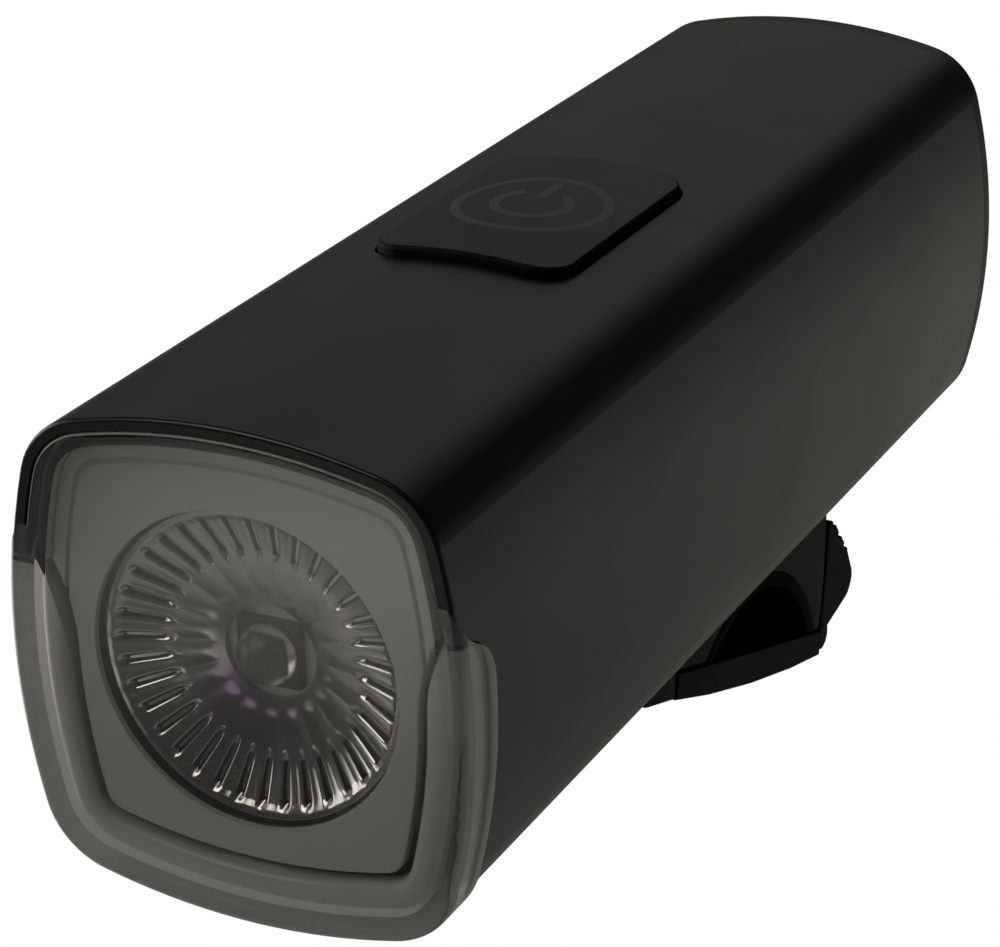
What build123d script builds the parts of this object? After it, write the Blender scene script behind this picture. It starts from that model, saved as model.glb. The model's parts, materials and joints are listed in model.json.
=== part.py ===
from build123d import *
import math
import os

# A bike headlight on a rubber strap mount, in millimetres.
# It is drawn in lamp coordinates: X across, Y from the front plane to the rear, Z up from the
# middle of the section. Every piece is then moved, so that the written origin lies on the
# handlebar's axis, with the beam towards -Y.

# Battery cell, which the body is sized round, and the room on each side of it
cell_radius = 9.2
cell_length = 65.0
cell_nub_radius = 3.2
cell_nub_height = 1.0
cell_side_room = 7.4
cell_floor_gap = 2.4
cell_board_gap = 3.3
board_roof_room = 11.1
cell_rear_room = 24.09

# Body
corner_radius = 6.1
side_bow_radius = 52.9
top_bow_radius = 50.0
wall = 1.4
edge_round = 0.3

# Clearances
seam = 0.1
fit_gap = 0.05
moving_gap = 0.3
overrun = 5.0

# Lens and the step in the shell's front edge
window_depth = 4.2
window_top = 9.0
window_foot = 2.8
rim_wall = 0.9
lens_plate = 1.6
lens_plate_round = 0.3
lens_proud = 0.35
lens_wall = 1.4
lens_lip = 0.8
lens_lip_depth = 5.2
lens_edge_round = 0.8
gasket_length = 1.5
gasket_width = 1.2

# Trim ring behind the lens's lower edge, whose ends curve out to the side walls
trim_width = 2.2
trim_depth = 1.7
trim_outer_round = 1.2
trim_inner_round = 0.8
trim_shoulder = 14.0
trim_shoulder_drop = 1.0

# Bezel and reflector
bezel_gap = 0.7
bezel_groove = 0.7
bezel_thickness = 1.0
bezel_clearance = 0.2
bezel_rim_width = 1.5
bezel_line_inset = 3.5
bezel_line_width = 0.3
bezel_line_depth = 0.35
rim_land = 0.4
focal_length = 8.0
flange_width = 1.0
flange_thickness = 1.0
flange_root_inset = 0.8
collar_wall = 1.3
collar_height = 0.6
pleat_count = 36
pleat_height = 0.25
facet_count = 18
pleat_edge = 0.4
pleat_middle_share = 0.75
pleat_end_share = 0.53
facet_middle_share = 0.42

# Light source and heat sink
package_side = 5.0
package_height = 0.9
dome_radius = 2.3
led_clearance = 0.15
led_board_inset = 1.2
led_board_thickness = 1.6
led_screw_inset = 1.9
led_screw_radius = 1.0
led_screw_head_radius = 1.5
led_screw_head_height = 0.6
led_screw_length = 5.0
heat_sink_length = 10.5
fin_root = 4.2
fin_slot = 1.4
fin_count = 6
fin_pitch = 4.6

# Battery cradle
tab_thickness = 0.3
tab_width = 6.0
plate_thickness = 1.8
plate_gap = 0.2
rib_thickness = 2.0
rail_gap = 1.0
rail_width = 2.0
rail_depth = 5.0
cell_clearance = 0.15
post_radius = 2.1
rear_plate_from_cap = 10.6

# Main board and what sits on it
board_side_room = 3.6
board_thickness = 1.6
board_to_cap = 1.0
chip_height = 1.0
chip_side = 5.0
chip_offset = 7.5
wire_radius = 0.6
wire_offset = 3.5
wire_landing = 4.0
switch_side = 6.0
switch_height = 3.5
switch_bore_depth = 1.5
plunger_radius = 1.75
plunger_height = 2.2
plunger_sunk = 0.6
status_led_length = 1.6
status_led_width = 0.8
status_led_height = 0.6
socket_width = 8.94
socket_height = 3.26
socket_depth = 7.35
socket_wall = 0.3
tongue_width = 6.7
tongue_height = 0.7
tongue_depth = 5.0

# Power button
button_width = 16.6
button_length = 25.0
button_corner = 3.0
button_from_front = 48.0
button_raise = 0.8
button_travel = 0.7
button_clearance = 0.25
button_edge_round = 0.4
button_flange = 1.1
button_flange_thickness = 1.0
stem_radius = 2.2
icon_depth = 0.5
ring_radius = 6.5
ring_width = 0.8
mark_radius = 3.4
mark_width = 0.8
mark_gap_angle = 70.0
mark_bar_length = 3.6
seal_gap = 0.4
seal_width = 1.2
seal_thickness = 1.2

# Rear cap
cap_thickness = 2.0
cap_edge_round = 0.6
cap_plug_length = 7.0
cap_plug_wall = 1.5
groove_from_cap = 2.7
groove_length = 1.8
groove_depth = 0.8
cap_screw_radius = 0.95
cap_screw_head_radius = 1.9
cap_screw_head_depth = 1.1
cap_screw_length = 8.0
cap_screw_hole_radius = 1.1
cap_screw_outward = 0.4
drive_radius = 0.8
drive_depth = 0.7

# Port cover
port_width = 12.0
port_height = 6.4
flap_width = 15.0
flap_above_axis = 8.9
flap_thickness = 1.1
flap_boss_depth = 0.7
flap_boss_gap = 0.3
flap_axis_drop = 4.4
flap_axis_inset = 0.9
flap_barrel_radius = 0.8
flap_barrel_length = 10.0
flap_pocket_below_axis = 1.2
flap_lip_width = 5.0
flap_lip_height = 0.9
barrel_clearance = 0.1

# Handlebar bracket
bar_radius = 15.9
bar_from_front = 69.0
bracket_floor = 1.7
bracket_half_width = 10.5
pad_thickness = 1.2
pad_groove = 0.4
pad_groove_width = 1.0
pad_groove_pitch = 4.0
cheek_inner = 5.6
cheek_front_from_pin = 3.8
cheek_radius = 10.0
ear_outer = 8.6
bracket_front_from_pin = 5.5
pin_beyond_bar = 10.1
pin_below_body = 2.4
pin_radius = 1.0
pin_seat_gap = 0.02
pin_running_gap = 0.06
bracket_screw_radius = 1.2
bracket_screw_offset = 6.5
bracket_screw_ahead = 11.5
bracket_screw_behind = 11.0
bracket_screw_head_radius = 2.2
bracket_screw_head_height = 1.2
bracket_screw_length = 5.4
bracket_screw_seat = 2.0
boss_radius = 2.6
boss_height = 2.8
boss_cap = 0.5
hook_half_width = 4.5
hook_above_corner = 6.9
hook_thickness = 2.8
hook_beyond_corner = 3.6
hook_tip_rise = 1.0
hook_tip_length = 1.8

# Rubber strap: its bend is placed from its pin, its lower rear corner from the bar, and its
# head from that corner
strap_thickness = 2.2
strap_eye_radius = 2.0
strap_eye_half_width = 5.3
shoulder_radius = 10.4
bend_back = 8.0
bend_drop = 2.17
corner_beyond_bar = 4.4
corner_above_axis = 1.6
strap_belly = 0.8
strap_belly_shares = 0.25, 0.5, 0.75
head_inset = 0.8
head_gap = 0.35
head_round = 1.4
notch_inset = 0.2
notch_rise = 2.8
lobe_low_reach = 5.1
lobe_low_rise = 3.8
lobe_tip_reach = 6.4
lobe_tip_rise = 5.4
lobe_high_reach = 4.5
lobe_high_rise = 9.0
head_top_reach = 0.7
head_top_rise = 13.4
grip_count = 3
grip_pitch = 1.8
grip_radius = 0.45
window_half_width = 5.2
hook_window_below = 0.5
hook_window_above = 0.5
strap_window_length = 4.6
strap_window_pitch = 9.0
strap_window_count = 2
strap_window_from_corner = 13.0


# Values that follow from those above
half_width = cell_radius + cell_side_room + wall
room_height = cell_floor_gap + 2 * cell_radius + cell_board_gap + board_roof_room
half_height = room_height / 2 + wall
narrow_half = min(half_width, half_height)
body_height = 2 * half_height
cell_drop = half_height - wall - cell_floor_gap - cell_radius
board_underside = cell_radius - cell_drop + cell_board_gap
board_half_width = half_width - wall - board_side_room
band_width = lens_wall + seam + trim_width
trim_front = lens_plate + seam
trim_back = trim_front + trim_depth
rim_radius = narrow_half - band_width - bezel_groove - bezel_rim_width - bezel_clearance - rim_land
flange_radius = rim_radius + rim_land + flange_width
flange_root_radius = rim_radius - flange_root_inset
pleat_start_radius = rim_radius - pleat_edge
pleat_middle_radius = rim_radius * pleat_middle_share
pleat_end_radius = rim_radius * pleat_end_share
facet_middle_radius = rim_radius * facet_middle_share
trim_shoulder_x = half_width - side_bow_radius + math.sqrt(
    (side_bow_radius - band_width)**2 - trim_shoulder_drop**2) + trim_shoulder
led_board_radius = rim_radius - led_board_inset
led_screw_offset = led_board_radius - led_screw_inset
bezel_front = lens_plate + bezel_gap
bezel_back = bezel_front + bezel_thickness
flange_front = bezel_back + seam
flange_back = flange_front + flange_thickness
throat_radius = package_side / math.sqrt(2) + led_clearance
collar_radius = throat_radius + collar_wall
throat_from_front = bezel_front + (rim_radius**2 - throat_radius**2) / (4 * focal_length)
led_board_front = throat_from_front + collar_height
heat_sink_front = led_board_front + led_board_thickness
heat_sink_back = heat_sink_front + heat_sink_length
gasket_front = lens_lip_depth + seam
ledge_front = gasket_front + gasket_length + seam
cradle_front = heat_sink_back + seam
cell_front = cradle_front + plate_thickness + tab_thickness
cell_back = cell_front + cell_length
cradle_back = cell_back + tab_thickness
body_length = cell_back + cell_rear_room
cap_front = body_length - cap_thickness
board_front = cradle_front + plate_thickness
board_back = cap_front - board_to_cap
board_top = board_underside + board_thickness
socket_middle = board_top + socket_height / 2
switch_top = board_top + switch_height
plunger_top = switch_top + plunger_height - plunger_sunk
button_floor = half_height - wall - seam - button_flange_thickness
flap_axis_y = body_length - flap_axis_inset
flap_axis_z = socket_middle - flap_axis_drop
flap_pocket_floor = body_length - flap_thickness - seam
pad_outer_radius = bar_radius + pad_thickness
bar_below = half_height + seam + bracket_floor + pad_outer_radius
pin_from_front = bar_from_front - bar_radius - pin_beyond_bar
pin_z = -(half_height + pin_below_body)
corner_back = 2 * bar_radius + pin_beyond_bar + corner_beyond_bar
corner_drop = bar_below + pin_z - corner_above_axis
head_inner_radius = corner_back - head_inset
hook_low = corner_drop - hook_above_corner
hook_high = hook_low - hook_thickness
hook_reach = corner_back + hook_beyond_corner
window_low = hook_low + hook_window_below
window_high = hook_high - hook_tip_rise - hook_window_above
bracket_screw_front = bar_from_front - bracket_screw_ahead
bracket_screw_rear = bar_from_front + bracket_screw_behind
screw_seat_z = -(half_height + bracket_screw_seat)
boss_top = -(half_height - wall - boss_height)


def corner_centre():
    """Centre of the corner circle that lies inside a side arc and the top arc."""
    side = Vector(half_width - side_bow_radius, 0)
    top = Vector(0, half_height - top_bow_radius)
    to_side = side_bow_radius - corner_radius
    to_top = top_bow_radius - corner_radius
    apart = (top - side).length
    along = (to_side**2 - to_top**2 + apart**2) / (2 * apart)
    across = math.sqrt(to_side**2 - along**2)
    direction = (top - side) / apart
    return side + direction * along + Vector(-direction.Y, direction.X) * across


corner = corner_centre()


def section(inset, y):
    """The body's outline at a distance y from the front, drawn in by an inset."""
    side = Vector(half_width - side_bow_radius, 0)
    top = Vector(0, half_height - top_bow_radius)
    to_side = (corner - side).normalized()
    to_top = (corner - top).normalized()
    between = (to_side + to_top).normalized()
    side_end = side + to_side * (side_bow_radius - inset)
    corner_middle = corner + between * (corner_radius - inset)
    top_end = top + to_top * (top_bow_radius - inset)

    def at(point, across=1, up=1):
        return (point.X * across, y, point.Y * up)

    edges = []
    for across in (1, -1):
        middle = Vector(half_width - inset, 0)
        edges.append(ThreePointArc(at(side_end, across, -1), at(middle, across), at(side_end, across)))
    for up in (1, -1):
        middle = Vector(0, half_height - inset)
        edges.append(ThreePointArc(at(top_end, -1, up), at(middle, 1, up), at(top_end, 1, up)))
        for across in (1, -1):
            ends = at(side_end, across, up), at(corner_middle, across, up), at(top_end, across, up)
            edges.append(ThreePointArc(*ends))
    return Face(Wire(edges))


def tube(inset, start, end):
    """A solid bar of the body's section between two places along Y."""
    return extrude(section(inset, start), amount=end - start, dir=(0, 1, 0))


def sleeve(outer, inner, start, end):
    """A ring of the body's section, from one inset to a deeper one."""
    return tube(outer, start, end) - tube(inner, start - overrun, end + overrun)


def side_profile(points, low, high):
    """A closed outline of (y, z) points, extruded across from x = low to x = high."""
    outline = Polyline(*[(low, y, z) for y, z in points], close=True)
    return extrude(Face(Wire(outline)), amount=high - low, dir=(1, 0, 0))


def cross_rod(radius, y, z, low, high):
    """A round bar along X."""
    plane = Plane(origin=(low, y, z), x_dir=(0, 1, 0), z_dir=(1, 0, 0))
    return extrude(plane * Circle(radius), amount=high - low)


def long_rod(radius, x, z, start, end):
    """A round bar along Y."""
    plane = Plane(origin=(x, start, z), x_dir=(-1, 0, 0), z_dir=(0, 1, 0))
    return extrude(plane * Circle(radius), amount=end - start)


def upright_rod(radius, x, y, low, high):
    """A round bar along Z."""
    return extrude(Pos(x, y, low) * Circle(radius), amount=high - low)


def block(x, y, z):
    """A box between the pairs of limits x, y and z."""
    size = [high - low for low, high in (x, y, z)]
    middle = [(high + low) / 2 for low, high in (x, y, z)]
    return Pos(*middle) * Box(*size)


def rounded_plan(grow, low, high):
    """The button's plan, larger by grow on each side, as an upright bar."""
    plan = RectangleRounded(button_width + 2 * grow, button_length + 2 * grow, button_corner + grow)
    return extrude(Pos(0, button_from_front, low) * plan, amount=high - low)


def window_tool(gap):
    """The space in front of the shell's stepped edge, less a gap on the shell's side."""
    depth = window_depth - gap
    top = window_top - gap
    foot = window_foot - gap
    rise = top - foot
    radius = (rise**2 + depth**2) / (4 * depth)
    turn = math.asin(rise / (2 * radius)) / 2
    join = (0, depth / 2, (top + foot) / 2)
    upper = (0, radius - radius * math.cos(turn), top - radius * math.sin(turn))
    lower = (0, depth - radius + radius * math.cos(turn), foot + radius * math.sin(turn))
    bottom = -(half_height + overrun)
    curves = [ThreePointArc((0, 0, top), upper, join), ThreePointArc(join, lower, (0, depth, foot))]
    frame = Polyline((0, depth, foot), (0, depth, bottom), (0, -overrun, bottom), (0, -overrun, top), (0, 0, top))
    reach = half_width + overrun
    return extrude(Pos(-reach, 0, 0) * Face(Wire(curves + frame.edges())), amount=2 * reach, dir=(1, 0, 0))


def above_trim(gap):
    """The space between and above the trim ring's curved ends, less a gap."""
    space = block((-half_width, half_width), (0, body_length), (-trim_shoulder_drop, body_height))
    for across in (-1, 1):
        space -= long_rod(trim_shoulder + gap, across * trim_shoulder_x, -trim_shoulder_drop, -overrun,
                          body_length + overrun)
    return space


def rounded_front(solid, radius):
    """The front outline of a solid, rounded."""
    edges = solid.faces().sort_by(Axis.Y)[0].outer_wire().edges()
    return fillet(edges, radius)


# Shell: a tube with a thin front rim, whose front edge is stepped back round the lower half
def housing_shell():
    shell = rounded_front(tube(0, 0, cap_front), edge_round)
    shell -= tube(wall, -overrun, body_length + overrun)
    shell -= tube(rim_wall, -overrun, lens_plate + seam)
    shell -= window_tool(0)
    shell += sleeve(wall, wall + gasket_width + seam, ledge_front, heat_sink_front)
    shell -= rounded_plan(button_clearance, 0, body_height)
    places = [(x, y) for x in (-bracket_screw_offset, bracket_screw_offset)
              for y in (bracket_screw_front, bracket_screw_rear)]
    for x, y in places:
        pillar = upright_rod(boss_radius, x, y, -body_height, boss_top)
        shell += pillar & tube(wall / 2, 0, cap_front)
    for x, y in places:
        shell -= upright_rod(bracket_screw_radius + seam, x, y, -body_height, boss_top - boss_cap)
    return shell


# Lens: a plate flush with the shell's rim, a wall that stands proud of the shell round the lower
# half, and a thin lip behind
def front_lens():
    wrap = rounded_front(tube(-lens_proud, 0, window_depth + lens_lip_depth), lens_edge_round)
    wrap &= window_tool(seam)
    plate = rounded_front(tube(rim_wall + seam, 0, lens_plate), lens_plate_round)
    lip = sleeve(wall + seam, wall + seam + lens_lip, 0, lens_lip_depth)
    trim_space = tube(lens_wall, lens_plate, trim_back + seam) - above_trim(0)
    return wrap + plate + lip - trim_space - tube(wall + seam + lens_lip, lens_plate, body_length)


# Trim ring: a rounded band that shows through the lens round the lower half
def lens_trim():
    ring = rounded_front(tube(lens_wall + seam, trim_front, trim_back), trim_outer_round)
    ring -= tube(band_width, 0, body_length)
    inner_edge = ring.faces().sort_by(Axis.Y)[0].inner_wires()[0].edges()
    return fillet(inner_edge, trim_inner_round) - above_trim(-seam)


def lens_gasket():
    return sleeve(wall + fit_gap, wall + gasket_width, gasket_front, gasket_front + gasket_length)


# Bezel: full width above the trim ring, drawn in below, with a fine line let into its upper part
def bezel_plate():
    upper = tube(wall + 2 * seam + lens_lip, bezel_front, bezel_back) & above_trim(bezel_groove)
    lower = tube(band_width + bezel_groove, bezel_front, bezel_back)
    opening = long_rod(rim_radius + rim_land + bezel_clearance, 0, 0, 0, body_length)
    line = sleeve(bezel_line_inset, bezel_line_inset + bezel_line_width, 0, bezel_front + bezel_line_depth)
    return upper + lower - opening - line


def bowl_depth(radius):
    """Distance from the front plane to the reflector's curve at a radius."""
    return bezel_front + (rim_radius**2 - radius**2) / (4 * focal_length)


def ring_polygon(radius, count, swell):
    """A flat face whose corners lie alternately outside and inside a radius."""
    points = []
    for step in range(count):
        reach = radius + (swell if step % 2 else -swell)
        angle = 2 * math.pi * step / count
        points.append((reach * math.cos(angle), bowl_depth(radius), reach * math.sin(angle)))
    return Face(Wire(Polyline(*points, close=True)))


# Reflector: a parabolic bowl with radial pleats round an inner ring of flat facets
def reflector():
    land = rim_radius + rim_land
    outline = [(0, bezel_front), (land, bezel_front), (land, flange_front), (flange_radius, flange_front),
               (flange_radius, flange_back), (flange_root_radius, flange_back),
               (collar_radius, led_board_front), (0, led_board_front)]
    half = Face(Wire(Polyline(*[(r, y, 0) for r, y in outline], close=True)))
    bowl = revolve(half, Axis.Y)
    pleated = [ring_polygon(pleat_start_radius, 2 * pleat_count, pleat_height),
               ring_polygon(pleat_middle_radius, 2 * pleat_count, pleat_height),
               ring_polygon(pleat_end_radius, 2 * pleat_count, 0)]
    faceted = [ring_polygon(pleat_end_radius, facet_count, 0),
               ring_polygon(facet_middle_radius, facet_count, 0),
               ring_polygon(throat_radius, facet_count, 0)]
    for stack in (pleated, faceted):
        for front, back in zip(stack, stack[1:]):
            bowl -= loft([front, back], ruled=True)
    edge = Plane(origin=(0, bezel_front, 0), x_dir=(1, 0, 0), z_dir=(0, -1, 0))
    inner = Plane(origin=(0, bowl_depth(pleat_start_radius), 0), x_dir=(1, 0, 0), z_dir=(0, -1, 0))
    bowl -= loft([edge * Circle(rim_radius), inner * Circle(pleat_start_radius + pleat_height)])
    return bowl - long_rod(throat_radius, 0, 0, bezel_front, body_length)


def led_emitter():
    half = package_side / 2
    package = block((-half, half), (led_board_front - package_height, led_board_front), (-half, half))
    dome = Pos(0, led_board_front - package_height, 0) * Sphere(dome_radius)
    return package + (dome & long_rod(dome_radius, 0, 0, 0, led_board_front))


def led_screw_places():
    return [(-led_screw_offset, 0), (led_screw_offset, 0)]


def led_board():
    board = long_rod(led_board_radius, 0, 0, led_board_front, heat_sink_front)
    for x, z in led_screw_places():
        board -= long_rod(led_screw_radius + seam, x, z, 0, body_length)
    return board


def led_board_screws():
    screws = []
    for x, z in led_screw_places():
        head = long_rod(led_screw_head_radius, x, z, led_board_front - led_screw_head_height, led_board_front)
        shaft = long_rod(led_screw_radius, x, z, led_board_front, led_board_front + led_screw_length)
        slot = long_rod(led_screw_radius / 2, x, z, 0, led_board_front - led_screw_head_height / 2)
        screws.append(head + shaft - slot)
    return Compound(screws)


# Heat sink: a block that fills the shell, with fins cut from behind
def heat_sink():
    sink = tube(wall + seam, heat_sink_front, heat_sink_back)
    for place in range(fin_count):
        x = (place - (fin_count - 1) / 2) * fin_pitch
        slot = (x - fin_slot / 2, x + fin_slot / 2)
        reach = half_height - wall - gasket_width
        sink -= block(slot, (heat_sink_front + fin_root, body_length), (-reach, reach))
    for x, z in led_screw_places():
        sink -= long_rod(led_screw_radius + seam, x, z, 0, led_board_front + led_screw_length + seam)
    for x in (-wire_offset, wire_offset):
        sink -= long_rod(wire_radius + moving_gap, x, board_top + wire_radius, 0, body_length)
    return sink


def led_wires():
    z = board_top + wire_radius
    end = board_front + wire_landing
    return Compound([long_rod(wire_radius, x, z, heat_sink_front, end) for x in (-wire_offset, wire_offset)])


# Cradle: plates across the shell, joined by two rails, with posts for the cap's screws
def battery_cradle():
    outline = wall + plate_gap
    rear_plate = cap_front - rear_plate_from_cap
    plates = tube(outline, cradle_front, cradle_front + plate_thickness)
    plates += tube(outline, cradle_back, cradle_back + plate_thickness)
    hole = long_rod(cell_radius + cell_clearance, 0, -cell_drop, cell_front, cell_back)
    for y in ((cell_front + bracket_screw_front) / 2, (bracket_screw_front + bracket_screw_rear) / 2):
        plates += tube(outline, y - rib_thickness / 2, y + rib_thickness / 2) - hole
    above = block((-half_width, half_width), (0, body_length), (board_underside, half_height))
    cradle = plates - above
    rear = tube(outline, rear_plate, rear_plate + plate_thickness)
    rear -= block((-board_half_width - seam, board_half_width + seam), (0, body_length),
                  (board_underside, board_top + seam))
    cradle += rear
    rail_inner = cell_radius + rail_gap
    for side in (-1, 1):
        limits = sorted((side * rail_inner, side * (rail_inner + rail_width)))
        low, high = -cell_drop - rail_depth, -cell_drop + rail_depth
        cradle += block(limits, (cradle_front, rear_plate + plate_thickness), (low, high))
    for x, z in cap_screw_places():
        cradle += long_rod(post_radius, x, z, rear_plate, cap_front - seam)
        cradle -= long_rod(cap_screw_radius + fit_gap, x, z, rear_plate + plate_thickness, body_length)
    return cradle


def battery_cell():
    can = long_rod(cell_radius, 0, -cell_drop, cell_front + cell_nub_height, cell_back)
    can = fillet(can.edges().filter_by(GeomType.CIRCLE), edge_round)
    return can + long_rod(cell_nub_radius, 0, -cell_drop, cell_front, cell_front + cell_nub_height)


def cell_tabs():
    half = tab_width / 2
    span = (-cell_drop - half, board_underside)
    front = block((-half, half), (cell_front - tab_thickness, cell_front), span)
    back = block((-half, half), (cell_back, cell_back + tab_thickness), span)
    return Compound([front, back])


def main_board():
    return block((-board_half_width, board_half_width), (board_front, board_back), (board_underside, board_top))


def control_chips():
    half = chip_side / 2
    middle = (button_from_front + cap_front) / 2
    places = [(-chip_offset, middle), (chip_offset, middle), (0, middle - 2 * chip_side)]
    return Compound([block((x - half, x + half), (y - half, y + half), (board_top, board_top + chip_height))
                     for x, y in places])


def tactile_switch():
    half = switch_side / 2
    y = (button_from_front - half, button_from_front + half)
    body = block((-half, half), y, (board_top, switch_top))
    return body - upright_rod(plunger_radius + seam, 0, button_from_front, switch_top - switch_bore_depth, half_height)


def switch_plunger():
    return upright_rod(plunger_radius, 0, button_from_front, switch_top - plunger_sunk, plunger_top)


def status_leds():
    leds = []
    for across in (-1, 1):
        for along in (-1, 1):
            x = across * (ring_radius - ring_width)
            y = button_from_front + along * switch_side / 2
            leds.append(block((x - status_led_width / 2, x + status_led_width / 2),
                              (y - status_led_length / 2, y + status_led_length / 2),
                              (board_top, board_top + status_led_height)))
    return Compound(leds)


# Charging socket: a metal shell round a contact tongue
def usb_socket():
    start = cap_front - seam - socket_depth

    def stadium(width, height, depth):
        plane = Plane(origin=(0, start, socket_middle), x_dir=(-1, 0, 0), z_dir=(0, 1, 0))
        return extrude(plane * SlotOverall(width, height), amount=depth)

    inner_width, inner_height = socket_width - 2 * socket_wall, socket_height - 2 * socket_wall
    mouth = stadium(inner_width, inner_height, socket_depth) - stadium(inner_width, inner_height, socket_wall)
    half = tongue_width / 2
    tongue = block((-half, half), (start + socket_wall, start + tongue_depth),
                   (socket_middle - tongue_height / 2, socket_middle + tongue_height / 2))
    return stadium(socket_width, socket_height, socket_depth) - mouth + tongue


# Button: a pad that follows the body's bow, with a flange behind the shell and a stem
def power_button():
    pad = rounded_plan(0, button_floor, body_height) & tube(-button_raise, 0, cap_front)
    pad = fillet(pad.faces().sort_by(Axis.Z)[-1].edges(), button_edge_round)
    skirt = sleeve(wall + seam, wall + seam + button_flange_thickness, 0, cap_front)
    flange = rounded_plan(button_flange, 0, body_height) & skirt
    stem = upright_rod(stem_radius, 0, button_from_front, plunger_top, button_floor + button_flange_thickness)
    return pad + flange + stem - icon_bars()


# Mark: an outer ring round a plain power sign, an open ring with a bar at its gap
def icon_bars():
    middle = Pos(0, button_from_front, 0)
    ring = Circle(ring_radius) - Circle(ring_radius - ring_width)
    sign = Circle(mark_radius) - Circle(mark_radius - mark_width)
    reach = 2 * mark_radius
    spread = reach * math.tan(math.radians(mark_gap_angle / 2))
    sign -= make_face(Polyline((0, 0), (-spread, reach), (spread, reach), close=True))
    bar = Pos(0, mark_radius) * Rectangle(mark_width, mark_bar_length)
    skin = tube(-button_raise, 0, cap_front) - tube(icon_depth - button_raise, -overrun, body_length)
    return (extrude(middle * (ring + sign + bar), amount=body_height)) & skin


def button_icon():
    return Compound(icon_bars().solids())


def button_seal():
    band = sleeve(wall + fit_gap, wall + fit_gap + seal_thickness, 0, cap_front)
    inner = button_flange + seal_gap
    return (rounded_plan(inner + seal_width, 0, body_height) - rounded_plan(inner, 0, body_height)) & band


def cap_screw_places():
    offset, height = corner.X + cap_screw_outward, corner.Y + cap_screw_outward
    return [(across * offset, up * height) for across in (-1, 1) for up in (-1, 1)]


# Rear cap: an end plate with a plug inside the shell, a gasket groove and the port's recess
def rear_cap():
    plate = tube(0, cap_front, body_length)
    plate = fillet(plate.faces().sort_by(Axis.Y)[-1].outer_wire().edges(), cap_edge_round)
    plug_start = cap_front - cap_plug_length
    plug = sleeve(wall + seam, wall + seam + cap_plug_wall, plug_start, cap_front)
    groove_back = cap_front - groove_from_cap
    groove = sleeve(0, wall + seam + groove_depth, groove_back - groove_length, groove_back)
    cap = plate + (plug - groove)
    for x, z in cap_screw_places():
        cap -= long_rod(cap_screw_hole_radius, x, z, cap_front - overrun, body_length + overrun)
        cap -= screw_head(x, z, seam)
    half = flap_width / 2 + moving_gap
    low, high = flap_axis_z - flap_pocket_below_axis, flap_axis_z + flap_above_axis + moving_gap
    cap -= block((-half, half), (flap_pocket_floor, body_length + overrun), (low, high))
    lip = flap_lip_width / 2 + moving_gap
    cap -= block((-lip, lip), (flap_pocket_floor, body_length + overrun), (low, high + flap_lip_height))
    port_low = socket_middle - port_height / 2
    cap -= block((-port_width / 2, port_width / 2), (cap_front - overrun, body_length),
                 (port_low, port_low + port_height))
    reach = flap_barrel_length / 2 + moving_gap
    return cap - cross_rod(flap_barrel_radius + barrel_clearance, flap_axis_y, flap_axis_z, -reach, reach)


def screw_head(x, z, grow):
    """A countersunk head, flush with the rear face."""
    small = Plane(origin=(x, body_length - cap_screw_head_depth, z), x_dir=(-1, 0, 0), z_dir=(0, 1, 0))
    large = Plane(origin=(x, body_length, z), x_dir=(-1, 0, 0), z_dir=(0, 1, 0))
    return loft([small * Circle(cap_screw_radius + grow), large * Circle(cap_screw_head_radius + grow)])


def cap_screws():
    screws = []
    for x, z in cap_screw_places():
        shaft = long_rod(cap_screw_radius, x, z, body_length - cap_screw_length, body_length - cap_screw_head_depth)
        drive_plane = Plane(origin=(x, body_length - drive_depth, z), x_dir=(-1, 0, 0), z_dir=(0, 1, 0))
        drive = extrude(drive_plane * RegularPolygon(drive_radius, 6), amount=drive_depth)
        screws.append(screw_head(x, z, 0) + shaft - drive)
    return Compound(screws)


def rear_gasket():
    back = cap_front - groove_from_cap - seam
    return sleeve(wall + fit_gap, wall + groove_depth, back - groove_length + 2 * seam, back)


# Port cover: a soft plate with a boss for the port and a barrel that turns in the cap
def port_flap():
    half = flap_width / 2
    high = flap_axis_z + flap_above_axis
    back = body_length - flap_thickness
    plate = block((-half, half), (back, body_length), (flap_axis_z, high))
    plate = fillet(plate.edges().filter_by(Axis.Y).group_by(Axis.Z)[-1], flap_thickness)
    lip = flap_lip_width / 2
    plate += block((-lip, lip), (back, body_length), (flap_axis_z, high + flap_lip_height))
    low = socket_middle - port_height / 2 + flap_boss_gap
    side = port_width / 2 - flap_boss_gap
    boss = block((-side, side), (back - flap_boss_depth, back), (low, low + port_height - 2 * flap_boss_gap))
    barrel = cross_rod(flap_barrel_radius, flap_axis_y, flap_axis_z, -flap_barrel_length / 2, flap_barrel_length / 2)
    return plate + boss + barrel


def from_pin(back, drop):
    """A (y, z) point given by how far it lies behind and below the strap's pin."""
    return (pin_from_front + back, pin_z - drop)


def from_corner(reach, rise):
    """A (y, z) point given by how far it lies behind and above the strap's lower rear corner."""
    return from_pin(corner_back + reach, corner_drop - rise)


run_length = math.hypot(corner_back - bend_back, corner_drop - bend_drop)
run_back = (corner_back - bend_back) / run_length
run_drop = (corner_drop - bend_drop) / run_length


def on_run(along, up):
    """A (y, z) point by how far it lies along the strap's run from its rear corner, and above its edge."""
    return from_pin(corner_back - run_back * along + run_drop * up, corner_drop - run_drop * along - run_back * up)


def strap_outline(lift):
    """Outline of the strap's run, with a belly below and its upper edge raised by a lift."""
    rise = strap_thickness + lift
    belly = [on_run(run_length * (1 - share), -4 * strap_belly * share * (1 - share))
             for share in strap_belly_shares]
    return [from_pin(0, strap_eye_radius), on_run(run_length, 0), *belly, on_run(0, 0),
            on_run(0, rise), on_run(run_length, rise), from_pin(0, -strap_eye_radius - lift)]


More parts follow.
